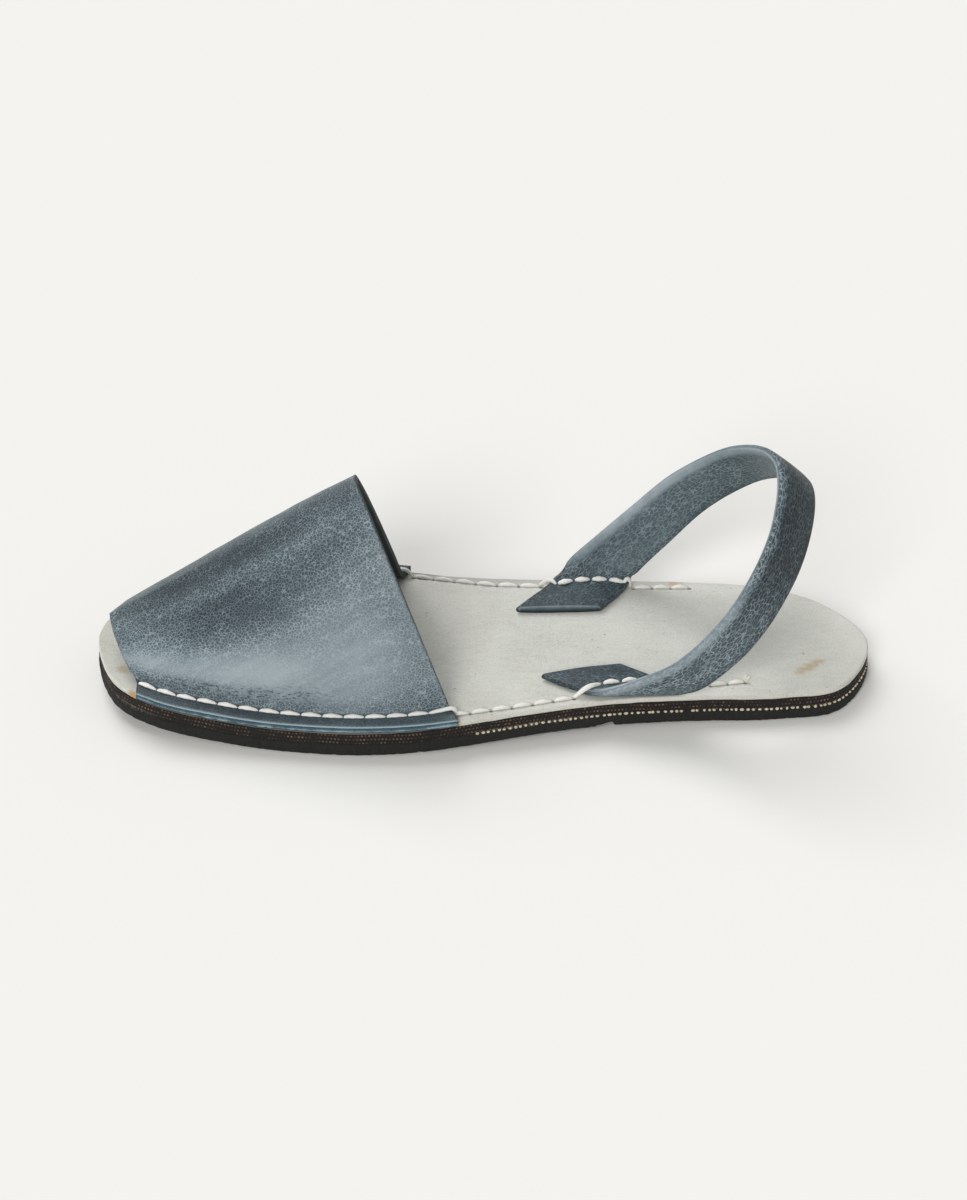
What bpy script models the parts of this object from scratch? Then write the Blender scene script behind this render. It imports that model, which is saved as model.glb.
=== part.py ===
"""Avarca sandal for the left foot: rubber outsole, leather insole, arched vamp and heel strap.

All sizes are in millimetres. Along runs from the heel end to the toe, across is
positive on the lateral side, and up is measured from the floor.
"""
import math
from collections import namedtuple

import bmesh
import bpy
import numpy as np

MM = 0.001

# Thicknesses of the stack, with the clearance left where two pieces meet
GAP = 0.3
RUBBER = 8.6
INSOLE = 1.6
VAMP_LEATHER = 1.8
STRAP_LEATHER = 2.4
INSOLE_LEVEL = RUBBER + GAP
ON_INSOLE = INSOLE_LEVEL + INSOLE + GAP

# Sole outline: the two end points, and a row per section with both edges
HEEL_TIP = (-1.2, 2.0)
TOE_TIP = (250.0, -2.0)
SoleSection = namedtuple("SoleSection", "along lateral medial")
SOLE_SECTIONS = [
    SoleSection(11.0, 25.4, -18.6),
    SoleSection(30.0, 29.2, -28.6),
    SoleSection(55.0, 30.3, -31.2),
    SoleSection(80.0, 32.6, -31.2),
    SoleSection(105.0, 36.6, -32.0),
    SoleSection(130.0, 41.2, -35.2),
    SoleSection(150.0, 43.6, -40.2),
    SoleSection(170.0, 43.4, -44.8),
    SoleSection(190.0, 40.8, -46.4),
    SoleSection(210.0, 36.8, -43.4),
    SoleSection(230.0, 31.0, -33.4),
    SoleSection(243.0, 21.8, -19.6),
]
OUTLINE_STEPS = 4
CAP_COLUMNS = 8

# Lift of the sole off the floor: an arched waist and a sprung toe
WAIST_FROM = 28.0
WAIST_TO = 172.0
WAIST_LIFT = 2.2
TOE_FROM = 190.0
TOE_LIFT = 5.0
TOE_BEND = 1.5

# Side of the rubber, from the ground edge up to the ply's top edge
SideStep = namedtuple("SideStep", "outward level")
SIDE_STEPS = [
    SideStep(-0.5, 0.0),
    SideStep(0.5, 0.9),
    SideStep(0.5, 4.2),
    SideStep(0.0, 4.6),
    SideStep(0.0, RUBBER),
]

# Tread grooves: where the steep wall runs, its depth and the sloped wall in front of it
Groove = namedtuple("Groove", "along_start across_start along_end across_end depth slope")
GROOVES = [
    Groove(82.0, 42.0, 110.0, -40.0, 2.6, 8.0),
    Groove(120.0, 4.0, 140.0, -46.0, 3.0, 7.0),
]
GROOVE_STEEP = 1.2
GROOVE_BELOW = 3.0

# Vamp: its two open edges, each an arch between the flanges
VampEdge = namedtuple("VampEdge", "lateral_along medial_along crown_along crown_across crown_up "
                                  "roundness sweep flange_back")
TOE_EDGE = VampEdge(235.5, 227.5, 245.6, 0.5, 25.6, 1.5, 0.5, 0.0)
THROAT_EDGE = VampEdge(136.5, 151.0, 164.6, 0.0, 73.8, 1.9, 0.08, 2.6)
VAMP_STATIONS = 18
ARCH_STEPS = 30
FLANGE_INSET = 5.2
FLANGE_OVER = 0.8
FLANGE_BEND = 2.6
BEND_STEPS = 4

# Heel strap: a row per section from the medial tab, round the heel, to the lateral tab.
# Tilt and lean turn the line across the band, up from level and out to the lateral side.
STRAP_CHAMFER = 0.6
STRAP_STEPS = 6
ON_TAB = ON_INSOLE + 0.5 * STRAP_LEATHER
StrapSection = namedtuple("StrapSection", "along across above_tab tilt lean width")
STRAP_SECTIONS = [
    StrapSection(99.4, -13.4, 0.0, 0.0, 0.0, 22.0),
    StrapSection(93.2, -20.8, 0.0, 0.0, 0.0, 21.6),
    StrapSection(90.0, -24.7, 0.2, 0.0, 0.0, 21.2),
    StrapSection(87.2, -27.8, 1.7, 3.0, 0.0, 20.8),
    StrapSection(84.6, -29.6, 4.6, 9.0, -3.0, 20.2),
    StrapSection(79.8, -30.5, 9.6, 24.0, -5.0, 19.6),
    StrapSection(70.2, -31.0, 20.0, 41.0, -4.0, 19.0),
    StrapSection(55.3, -30.5, 36.6, 43.0, 1.0, 18.4),
    StrapSection(37.6, -20.2, 54.4, 43.0, 5.0, 18.0),
    StrapSection(28.0, 0.5, 63.0, 45.0, 8.0, 17.8),
    StrapSection(31.4, 20.3, 51.7, 48.0, 10.0, 17.0),
    StrapSection(44.2, 32.9, 30.5, 46.0, 9.0, 16.0),
    StrapSection(60.2, 33.9, 10.4, 37.0, 9.0, 15.2),
    StrapSection(70.0, 32.9, 4.0, 15.0, 9.0, 14.8),
    StrapSection(75.4, 31.7, 1.3, 5.0, 8.5, 15.8),
    StrapSection(79.8, 29.4, 0.2, 0.0, 8.0, 17.8),
    StrapSection(84.2, 26.4, 0.0, 0.0, 9.0, 19.2),
    StrapSection(93.8, 20.2, 0.0, 0.0, 11.0, 18.6),
]

# Colours and roughness of the four pieces
Finish = namedtuple("Finish", "color roughness")
RUBBER_FINISH = Finish((0.012, 0.011, 0.010), 0.8)
INSOLE_FINISH = Finish((0.58, 0.57, 0.54), 0.9)
LEATHER_FINISH = Finish((0.112, 0.158, 0.205), 0.55)
SHARP_ANGLE = math.radians(40.0)


def lift(along):
    """Height of the sole's underside over the floor."""
    height = 0.0
    if WAIST_FROM < along < WAIST_TO:
        height = WAIST_LIFT * math.sin(math.pi * (along - WAIST_FROM) / (WAIST_TO - WAIST_FROM)) ** 2
    if along > TOE_FROM:
        height = TOE_LIFT * ((along - TOE_FROM) / (TOE_TIP[0] - TOE_FROM)) ** TOE_BEND
    return height


def blend(first, second, low, high, at):
    """Straight mix of two rows, first at low and second at high."""
    share = (at - low) / (high - low)
    return (1.0 - share) * first + share * second


def smooth_curve(rows, steps, closed, places):
    """Centripetal curve through the rows; the first columns, as many as places, set its pace."""
    rows = np.array(rows, dtype=float)
    if closed:
        padded = np.vstack([rows[-1:], rows, rows[:2]])
    else:
        padded = np.vstack([2 * rows[0] - rows[1], rows, 2 * rows[-1] - rows[-2]])
    points = []
    for span in range(len(padded) - 3):
        a, b, c, d = padded[span:span + 4]
        ka = 0.0
        kb = ka + math.sqrt(np.linalg.norm((b - a)[:places]))
        kc = kb + math.sqrt(np.linalg.norm((c - b)[:places]))
        kd = kc + math.sqrt(np.linalg.norm((d - c)[:places]))
        for step in range(steps):
            at = kb + (kc - kb) * step / steps
            ab = blend(a, b, ka, kb, at)
            bc = blend(b, c, kb, kc, at)
            cd = blend(c, d, kc, kd, at)
            abc = blend(ab, bc, ka, kc, at)
            bcd = blend(bc, cd, kb, kd, at)
            points.append(blend(abc, bcd, kb, kc, at))
    if not closed:
        points.append(rows[-1])
    return np.array(points)


def sole_outline(outward):
    """Closed outline from the heel along the lateral edge, set out from the rubber's top edge."""
    lateral = [(row.along, row.lateral) for row in SOLE_SECTIONS]
    medial = [(row.along, row.medial) for row in reversed(SOLE_SECTIONS)]
    loop = smooth_curve([HEEL_TIP] + lateral + [TOE_TIP] + medial, OUTLINE_STEPS, True, 2)
    ahead = np.roll(loop, -1, axis=0) - np.roll(loop, 1, axis=0)
    ahead /= np.linalg.norm(ahead, axis=1, keepdims=True)
    out = np.column_stack([-ahead[:, 1], ahead[:, 0]])
    return loop + outward * out


def edge_across(along, lateral):
    """Where the outline's lateral or medial edge lies at one station."""
    loop = sole_outline(0.0)
    half = len(loop) // 2
    side = loop[:half + 1] if lateral else np.vstack([loop[half:], loop[:1]])[::-1]
    return float(np.interp(along, side[:, 0], side[:, 1]))


def new_object(name, mesh, finish):
    """Object of its own material, outward faces and true size."""
    for vertex in mesh.verts:
        vertex.co *= MM
    bmesh.ops.recalc_face_normals(mesh, faces=mesh.faces)
    data = bpy.data.meshes.new(name)
    mesh.to_mesh(data)
    mesh.free()
    data.shade_smooth()
    data.set_sharp_from_angle(angle=SHARP_ANGLE)
    material = bpy.data.materials.new(name)
    material.use_nodes = True
    shader = material.node_tree.nodes["Principled BSDF"]
    shader.inputs["Base Color"].default_value = (*finish.color, 1.0)
    shader.inputs["Roughness"].default_value = finish.roughness
    data.materials.append(material)
    item = bpy.data.objects.new(name, data)
    bpy.context.scene.collection.objects.link(item)
    return item


def close_cap(mesh, ring, level):
    """Fill a sole ring with rows of faces between its lateral and medial edges."""
    count = len(ring)
    half = count // 2
    rows = []
    for i in range(1, half):
        left = ring[i]
        right = ring[count - i]
        row = [left]
        for column in range(1, CAP_COLUMNS):
            spot = left.co.lerp(right.co, column / CAP_COLUMNS)
            spot.z = lift(spot.x) + level
            row.append(mesh.verts.new(spot))
        row.append(right)
        rows.append(row)
    for tip, row in ((ring[0], rows[0]), (ring[half], rows[-1])):
        for one, two in zip(row, row[1:]):
            mesh.faces.new((tip, one, two))
    for low, high in zip(rows, rows[1:]):
        for i in range(CAP_COLUMNS):
            mesh.faces.new((low[i], low[i + 1], high[i + 1], high[i]))


def sole_slab(steps):
    """Closed slab that follows the sole's lift, a ring of its side per step."""
    mesh = bmesh.new()
    rings = []
    for step in steps:
        loop = sole_outline(step.outward)
        rings.append([mesh.verts.new((x, y, lift(x) + step.level)) for x, y in loop])
    for low, high in zip(rings, rings[1:]):
        for i in range(len(low)):
            j = (i + 1) % len(low)
            mesh.faces.new((low[i], low[j], high[j], high[i]))
    close_cap(mesh, rings[0], steps[0].level)
    close_cap(mesh, rings[-1], steps[-1].level)
    return mesh


def groove_cutter(groove):
    """Prism with a steep wall behind and a long sloped wall in front, open below."""
    mesh = bmesh.new()
    ends = ((groove.along_start, groove.across_start), (groove.along_end, groove.across_end))
    profiles = []
    for along, across in ends:
        floor = lift(along) - GROOVE_BELOW
        apex = lift(along) + groove.depth
        steep = GROOVE_STEEP * (groove.depth + GROOVE_BELOW) / groove.depth
        slope = groove.slope * (groove.depth + GROOVE_BELOW) / groove.depth
        corners = ((along - steep, floor), (along + slope, floor), (along, apex))
        profiles.append([mesh.verts.new((x, across, z)) for x, z in corners])
    first, last = profiles
    for i in range(3):
        j = (i + 1) % 3
        mesh.faces.new((first[i], first[j], last[j], last[i]))
    mesh.faces.new(first)
    mesh.faces.new(last)
    return new_object("groove_cutter", mesh, RUBBER_FINISH)


def cut_away(item, cutter):
    """Take the cutter's space out of the item and drop the cutter."""
    modifier = item.modifiers.new("cut", "BOOLEAN")
    modifier.operation = "DIFFERENCE"
    modifier.solver = "EXACT"
    modifier.object = cutter
    graph = bpy.context.evaluated_depsgraph_get()
    cut_mesh = bpy.data.meshes.new_from_object(item.evaluated_get(graph))
    item.modifiers.clear()
    item.data = cut_mesh
    bpy.data.objects.remove(cutter)


def make_outsole():
    """Rubber sole with its tread grooves cut."""
    item = new_object("outsole", sole_slab(SIDE_STEPS), RUBBER_FINISH)
    for groove in GROOVES:
        cut_away(item, groove_cutter(groove))
    item.data.name = item.name


def make_insole():
    """Leather sheet on the rubber, flush with its top edge."""
    steps = [SideStep(0.0, INSOLE_LEVEL), SideStep(0.0, INSOLE_LEVEL + INSOLE)]
    new_object("insole", sole_slab(steps), INSOLE_FINISH)


def mixed_edge(share):
    """Vamp edge a share of the way from the toe to the throat."""
    return VampEdge(*(a + share * (b - a) for a, b in zip(TOE_EDGE, THROAT_EDGE)))


def flange_top(along):
    """Height of a flange's upper face."""
    return lift(along) + ON_INSOLE + VAMP_LEATHER


def vamp_foot(along, lateral, flange_back):
    """A flange's outer edge, the start of its bend and the corner under the wall."""
    out = 1.0 if lateral else -1.0
    edge = edge_across(along, lateral)
    top = flange_top(along)
    rim = np.array([along - flange_back, edge + out * FLANGE_OVER, top])
    corner = np.array([along, edge - out * FLANGE_INSET, top])
    bend = corner + np.array([-0.5 * flange_back, out * FLANGE_BEND, 0.0])
    return rim, bend, corner


def arch_point(edge, foot_a, foot_b, turn):
    """Point of a vamp arch, turn running from the lateral foot to the medial one."""
    middle = 0.5 * (foot_a + foot_b)
    power = 2.0 / edge.roundness
    reach = abs(math.cos(turn)) ** power
    rise = math.sin(turn) ** power
    foot = foot_a if turn < 0.5 * math.pi else foot_b
    point = middle + reach * (foot - middle)
    point[0] += (edge.crown_along - middle[0]) * ((1.0 - edge.sweep) * rise + edge.sweep * (1.0 - reach))
    point[1] += (edge.crown_across - middle[1]) * rise
    point[2] += (edge.crown_up - middle[2]) * rise
    return point


def vamp_section(edge):
    """Outer face of the vamp across one section, rim to rim."""
    rim_a, bend_a, foot_a = vamp_foot(edge.lateral_along, True, edge.flange_back)
    rim_b, bend_b, foot_b = vamp_foot(edge.medial_along, False, edge.flange_back)
    height = edge.crown_up - 0.5 * (foot_a[2] + foot_b[2])
    start = math.asin((FLANGE_BEND / height) ** (0.5 * edge.roundness))
    turns = [start + (math.pi - 2.0 * start) * i / ARCH_STEPS for i in range(ARCH_STEPS + 1)]
    arch = [arch_point(edge, foot_a, foot_b, turn) for turn in turns]
    rise_a = []
    rise_b = []
    for step in range(BEND_STEPS):
        share = step / BEND_STEPS
        keep = (1.0 - share) ** 2
        pull = 2.0 * share * (1.0 - share)
        rise_a.append(keep * bend_a + pull * foot_a + share ** 2 * arch[0])
        rise_b.append(keep * bend_b + pull * foot_b + share ** 2 * arch[-1])
    return [rim_a] + rise_a + arch + rise_b[::-1] + [rim_b]


def make_vamp():
    """One wall of leather, its inner face set back from the outer one by its thickness."""
    edges = [mixed_edge(i / VAMP_STATIONS) for i in range(VAMP_STATIONS + 1)]
    outer = np.array([vamp_section(edge) for edge in edges])
    back = np.gradient(outer, axis=0)
    over = np.gradient(outer, axis=1)
    normal = np.cross(back, over)
    normal /= np.linalg.norm(normal, axis=2, keepdims=True)
    inner = outer - VAMP_LEATHER * normal
    mesh = bmesh.new()
    faces_out = [[mesh.verts.new(point) for point in row] for row in outer]
    faces_in = [[mesh.verts.new(point) for point in row] for row in inner]
    rows = len(outer)
    columns = len(outer[0])
    for sheet in (faces_out, faces_in):
        for i in range(rows - 1):
            for j in range(columns - 1):
                mesh.faces.new((sheet[i][j], sheet[i][j + 1], sheet[i + 1][j + 1], sheet[i + 1][j]))
    for i in (0, rows - 1):
        for j in range(columns - 1):
            mesh.faces.new((faces_out[i][j], faces_out[i][j + 1], faces_in[i][j + 1], faces_in[i][j]))
    for j in (0, columns - 1):
        for i in range(rows - 1):
            mesh.faces.new((faces_out[i][j], faces_out[i + 1][j], faces_in[i + 1][j], faces_in[i][j]))
    new_object("vamp", mesh, LEATHER_FINISH)


def strap_ring(spot, ahead, tilt, lean, width):
    """Eight corners of the band where it passes one spot."""
    line = np.array([math.cos(tilt) * math.cos(lean), math.sin(lean), math.sin(tilt) * math.cos(lean)])
    face = np.cross(ahead, line)
    squareness = np.linalg.norm(face)
    face /= squareness
    reach = 0.5 * width / squareness
    short = reach - STRAP_CHAMFER / squareness
    half = 0.5 * STRAP_LEATHER
    low = half - STRAP_CHAMFER
    corners = ((reach, -low), (reach, low), (short, half), (-short, half),
               (-reach, low), (-reach, -low), (-short, -half), (short, -half))
    return [spot + wide * line + deep * face for wide, deep in corners]


def make_heel_strap():
    """Band from tab to tab, lofted ring by ring along its middle line."""
    rows = []
    for row in STRAP_SECTIONS:
        slope = math.degrees(math.atan(lift(row.along + 0.5) - lift(row.along - 0.5)))
        height = lift(row.along) + ON_TAB + row.above_tab
        rows.append((row.along, row.across, height, row.tilt + slope, row.lean, row.width))
    path = smooth_curve(rows, STRAP_STEPS, False, 3)
    ahead = np.gradient(path[:, :3], axis=0)
    ahead /= np.linalg.norm(ahead, axis=1, keepdims=True)
    mesh = bmesh.new()
    rings = []
    for row, way in zip(path, ahead):
        corners = strap_ring(row[:3], way, math.radians(row[3]), math.radians(row[4]), row[5])
        rings.append([mesh.verts.new(corner) for corner in corners])
    for low, high in zip(rings, rings[1:]):
        for i in range(len(low)):
            j = (i + 1) % len(low)
            mesh.faces.new((low[i], low[j], high[j], high[i]))
    mesh.faces.new(rings[0])
    mesh.faces.new(rings[-1])
    new_object("heel_strap", mesh, LEATHER_FINISH)


def centre_on_floor():
    """Move every piece so the origin is under the middle of the sandal, on the floor."""
    corners = np.array([v.co for item in bpy.data.objects for v in item.data.vertices])
    low = corners.min(axis=0)
    high = corners.max(axis=0)
    shift = (0.5 * (low[0] + high[0]), 0.5 * (low[1] + high[1]), low[2])
    for item in bpy.data.objects:
        for vertex in item.data.vertices:
            vertex.co.x -= shift[0]
            vertex.co.y -= shift[1]
            vertex.co.z -= shift[2]


for old in list(bpy.data.objects):
    bpy.data.objects.remove(old)
make_outsole()
make_insole()
make_vamp()
make_heel_strap()
centre_on_floor()
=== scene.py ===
import math
from collections import namedtuple

import bmesh
import bpy
import numpy as np
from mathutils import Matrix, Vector
from mathutils.bvhtree import BVHTree


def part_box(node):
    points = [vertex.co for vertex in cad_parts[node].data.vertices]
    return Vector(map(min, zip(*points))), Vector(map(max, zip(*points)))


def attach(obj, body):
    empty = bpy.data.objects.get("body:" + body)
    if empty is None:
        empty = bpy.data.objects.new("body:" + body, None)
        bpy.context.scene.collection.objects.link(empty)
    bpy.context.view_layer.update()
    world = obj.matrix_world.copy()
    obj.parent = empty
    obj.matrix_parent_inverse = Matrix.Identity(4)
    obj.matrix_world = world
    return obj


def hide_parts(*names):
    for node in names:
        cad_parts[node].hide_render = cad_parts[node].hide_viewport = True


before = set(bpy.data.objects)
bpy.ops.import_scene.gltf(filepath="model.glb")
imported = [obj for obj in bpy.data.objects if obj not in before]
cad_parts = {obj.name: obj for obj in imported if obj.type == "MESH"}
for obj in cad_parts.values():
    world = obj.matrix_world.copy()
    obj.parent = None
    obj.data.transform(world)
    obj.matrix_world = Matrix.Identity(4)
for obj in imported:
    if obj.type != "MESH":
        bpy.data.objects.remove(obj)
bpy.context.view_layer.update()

# Sizes are in millimetres in the sandal's own frame: along from the heel end to the toe,
# across positive on the lateral side, up from the floor. MM turns them into metres.
MM = 0.001


def table(columns, rows):
    """Rows of numbers with a name for each column."""
    row_type = namedtuple("row_type", columns)
    return [row_type(*row) for row in rows]


# Stack of the sole and the two leathers, as in the solids
RUBBER = 8.6
INSOLE = 1.6
GAP = 0.3
SEAT = 0.05
VAMP_LEATHER = 1.8
STRAP_LEATHER = 2.4
INSOLE_LEVEL = RUBBER + GAP
INSOLE_TOP = INSOLE_LEVEL + INSOLE
ON_INSOLE = INSOLE_TOP + GAP
ON_TAB = ON_INSOLE + 0.5 * STRAP_LEATHER

# Sole outline and lift
HEEL_TIP = (-1.2, 2.0)
TOE_TIP = (250.0, -2.0)
SOLE_SECTIONS = table("along lateral medial", [
    (11.0, 25.4, -18.6),
    (30.0, 29.2, -28.6),
    (55.0, 30.3, -31.2),
    (80.0, 32.6, -31.2),
    (105.0, 36.6, -32.0),
    (130.0, 41.2, -35.2),
    (150.0, 43.6, -40.2),
    (170.0, 43.4, -44.8),
    (190.0, 40.8, -46.4),
    (210.0, 36.8, -43.4),
    (230.0, 31.0, -33.4),
    (243.0, 21.8, -19.6),
])
OUTLINE_STEPS = 24
SIDE_COUNT = 500
WAIST_FROM = 28.0
WAIST_TO = 172.0
WAIST_LIFT = 2.2
TOE_FROM = 190.0
TOE_LIFT = 5.0
TOE_BEND = 1.5

# Side of the rubber from the ground edge to the ply's top, with how rough the knife left it
RUBBER_STEPS = table("outward level rough", [
    (-0.7, 0.0, 0.2),
    (-0.1, 0.25, 0.6),
    (0.3, 0.7, 1.0),
    (0.5, 1.3, 1.0),
    (0.5, 2.0, 1.0),
    (0.5, 2.7, 1.0),
    (0.5, 3.4, 0.9),
    (0.45, 4.0, 0.6),
    (0.15, 4.35, 0.3),
    (-0.2, 4.6, 0.2),
    (-0.05, 5.0, 0.3),
    (0.08, 5.5, 0.4),
    (-0.06, 5.9, 0.4),
    (0.08, 6.4, 0.4),
    (-0.06, 6.9, 0.4),
    (0.08, 7.4, 0.4),
    (-0.05, 7.9, 0.3),
    (0.0, 8.3, 0.2),
    (-0.2, RUBBER, 0.1),
])
GROOVES = table("along_start across_start along_end across_end depth slope", [
    (82.0, 42.0, 110.0, -40.0, 2.6, 8.0),
    (120.0, 4.0, 140.0, -46.0, 3.0, 7.0),
])
GROOVE_STEEP = 1.2

# Vamp: its two open edges, each an arch between the flanges
VampEdge = namedtuple("VampEdge", "lateral_along medial_along crown_along crown_across crown_up "
                                  "roundness sweep flange_back")
TOE_EDGE = VampEdge(235.5, 227.5, 245.6, 0.5, 25.6, 1.5, 0.5, 0.0)
THROAT_EDGE = VampEdge(136.5, 151.0, 164.6, 0.0, 73.8, 1.9, 0.08, 2.6)
VAMP_STATIONS = 120
ARCH_STEPS = 150
FLANGE_INSET = 5.2
FLANGE_OVER = 0.8
FLANGE_BEND = 2.6
BEND_STEPS = 8
FLANGE_SHARES = (0.0, 0.08, 0.2, 0.45, 0.7, 0.88)

# Heel strap sections from the medial tab round the heel to the lateral tab
STRAP_SECTIONS = table("along across above_tab tilt lean width", [
    (99.4, -13.4, 0.0, 0.0, 0.0, 22.0),
    (93.2, -20.8, 0.0, 0.0, 0.0, 21.6),
    (90.0, -24.7, 0.2, 0.0, 0.0, 21.2),
    (87.2, -27.8, 1.7, 3.0, 0.0, 20.8),
    (84.6, -29.6, 4.6, 9.0, -3.0, 20.2),
    (79.8, -30.5, 9.6, 24.0, -5.0, 19.6),
    (70.2, -31.0, 20.0, 41.0, -4.0, 19.0),
    (55.3, -30.5, 36.6, 43.0, 1.0, 18.4),
    (37.6, -20.2, 54.4, 43.0, 5.0, 18.0),
    (28.0, 0.5, 63.0, 45.0, 8.0, 17.8),
    (31.4, 20.3, 51.7, 48.0, 10.0, 17.0),
    (44.2, 32.9, 30.5, 46.0, 9.0, 16.0),
    (60.2, 33.9, 10.4, 37.0, 9.0, 15.2),
    (70.0, 32.9, 4.0, 15.0, 9.0, 14.8),
    (75.4, 31.7, 1.3, 5.0, 8.5, 15.8),
    (79.8, 29.4, 0.2, 0.0, 8.0, 17.8),
    (84.2, 26.4, 0.0, 0.0, 9.0, 19.2),
    (93.8, 20.2, 0.0, 0.0, 11.0, 18.6),
])
STRAP_STEPS = 16
STRAP_ROUND = 0.9
STRAP_FACE_COLUMNS = 22
STRAP_EDGE_COLUMNS = 6
STRAP_CROWN = 0.40
STRAP_SINK = 0.11
# Shift that gives the band's inner face a grain of its own
BACK_GRAIN = 50.0

# Camera of the photograph, aimed a little lower so that the sandal stands in the middle
CAMERA_SPOT = (142.3, 628.2, 494.9)
CAMERA_TURN = math.radians(-1.59)
CAMERA_PITCH = math.radians(36.6)
PICTURE_HEIGHT = 1200.0
FOCAL_PIXELS = 2420.5
SENSOR = 36.0


# Shapes that several pieces share

def lift(along):
    """Height of the sole's underside over the floor."""
    waist = np.clip((along - WAIST_FROM) / (WAIST_TO - WAIST_FROM), 0.0, 1.0)
    toe = np.clip((along - TOE_FROM) / (TOE_TIP[0] - TOE_FROM), 0.0, None)
    return WAIST_LIFT * np.sin(np.pi * waist) ** 2 + TOE_LIFT * toe ** TOE_BEND


def blend(first, second, low, high, at):
    """Straight mix of two rows, first at low and second at high."""
    share = (at - low) / (high - low)
    return (1.0 - share) * first + share * second


def smooth_curve(rows, steps, closed, places):
    """Centripetal curve through the rows; the first columns, as many as places, set its pace."""
    rows = np.array(rows, dtype=float)
    if closed:
        padded = np.vstack([rows[-1:], rows, rows[:2]])
    else:
        padded = np.vstack([2 * rows[0] - rows[1], rows, 2 * rows[-1] - rows[-2]])
    points = []
    for span in range(len(padded) - 3):
        a, b, c, d = padded[span:span + 4]
        ka = 0.0
        kb = ka + math.sqrt(np.linalg.norm((b - a)[:places]))
        kc = kb + math.sqrt(np.linalg.norm((c - b)[:places]))
        kd = kc + math.sqrt(np.linalg.norm((d - c)[:places]))
        for step in range(steps):
            at = kb + (kc - kb) * step / steps
            ab = blend(a, b, ka, kb, at)
            bc = blend(b, c, kb, kc, at)
            cd = blend(c, d, kc, kd, at)
            abc = blend(ab, bc, ka, kc, at)
            bcd = blend(bc, cd, kb, kd, at)
            points.append(blend(abc, bcd, kb, kc, at))
    if not closed:
        points.append(rows[-1])
    return np.array(points)


def unit(ways):
    """The same directions, each of length one."""
    return ways / np.linalg.norm(ways, axis=-1, keepdims=True)


def reach_of(line):
    """Length of a line from its start to each of its points."""
    steps = np.linalg.norm(np.diff(line, axis=0), axis=1)
    return np.concatenate([[0.0], np.cumsum(steps)])


def evenly(line, count):
    """The same line with count equal steps along its length."""
    reach = reach_of(line)
    spots = np.linspace(0.0, reach[-1], count + 1)
    return np.column_stack([np.interp(spots, reach, line[:, k]) for k in range(line.shape[1])])


def sole_ring():
    """Outline ring from the heel tip along the lateral edge, and each point's outward direction."""
    lateral = [(row.along, row.lateral) for row in SOLE_SECTIONS]
    medial = [(row.along, row.medial) for row in reversed(SOLE_SECTIONS)]
    loop = smooth_curve([HEEL_TIP] + lateral + [TOE_TIP] + medial, OUTLINE_STEPS, True, 2)
    half = len(loop) // 2
    one = evenly(loop[:half + 1], SIDE_COUNT)
    two = evenly(np.vstack([loop[half:], loop[:1]]), SIDE_COUNT)
    ring = np.vstack([one[:-1], two[:-1]])
    ahead = unit(np.roll(ring, -1, axis=0) - np.roll(ring, 1, axis=0))
    return ring, np.column_stack([-ahead[:, 1], ahead[:, 0]])


RING, RING_OUT = sole_ring()
LATERAL_EDGE = RING[:SIDE_COUNT + 1]
MEDIAL_EDGE = np.vstack([RING[SIDE_COUNT:], RING[:1]])[::-1]
RING_REACH = reach_of(RING)
INSOLE_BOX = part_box("insole")
FRAME_SHIFT = np.array([INSOLE_BOX[0].x / MM - RING[:, 0].min(),
                        INSOLE_BOX[0].y / MM - RING[:, 1].min(), 0.0])


def edge_across(along, lateral):
    """Where the outline's lateral or medial edge lies at one station."""
    side = LATERAL_EDGE if lateral else MEDIAL_EDGE
    return np.interp(along, side[:, 0], side[:, 1])


def place(points):
    """Points of the sandal's own frame in the shared frame, in metres."""
    return (np.asarray(points, dtype=float) + FRAME_SHIFT) * MM


def on_insole(along, across, rise=0.0):
    """Point on the insole's upper face, or a little over it."""
    return np.array([along, across, float(lift(along)) + INSOLE_TOP + rise])


def dice(row, column, seed):
    """Repeatable number from -1 to 1 for each lattice cell."""
    mask = np.uint64(0xFFFFFFFF)
    word = row.astype(np.int64).astype(np.uint64) * np.uint64(374761393)
    word = word + column.astype(np.int64).astype(np.uint64) * np.uint64(668265263)
    word = (word + np.uint64(seed) * np.uint64(2246822519)) & mask
    word = ((word ^ (word >> np.uint64(13))) * np.uint64(1274126177)) & mask
    word = word ^ (word >> np.uint64(16))
    return (word & np.uint64(0xFFFF)).astype(float) / 32767.5 - 1.0


def bumps(x, y, seed):
    """Smooth noise from -1 to 1 with cells of unit size."""
    x, y = np.broadcast_arrays(np.asarray(x, dtype=float), np.asarray(y, dtype=float))
    left = np.floor(x)
    low = np.floor(y)
    u = x - left
    v = y - low
    u = u * u * (3.0 - 2.0 * u)
    v = v * v * (3.0 - 2.0 * v)
    bottom = dice(left, low, seed) * (1.0 - u) + dice(left + 1, low, seed) * u
    top = dice(left, low + 1, seed) * (1.0 - u) + dice(left + 1, low + 1, seed) * u
    return bottom * (1.0 - v) + top * v


def ramp(value, low, high):
    """Smooth step from 0 at low to 1 at high."""
    share = np.clip((value - low) / (high - low), 0.0, 1.0)
    return share * share * (3.0 - 2.0 * share)


def distance_to(points, start, end):
    """Distance of each point from a straight run, and the share along it."""
    start = np.asarray(start, dtype=float)
    way = np.asarray(end, dtype=float) - start
    share = np.clip(((points - start) @ way) / (way @ way), 0.0, 1.0)
    return np.linalg.norm(points - start - share[..., None] * way, axis=-1), share


# Mesh helpers

def show(name, data):
    """Object of this data in the scene."""
    item = bpy.data.objects.new(name, data)
    bpy.context.scene.collection.objects.link(item)
    return item


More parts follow.
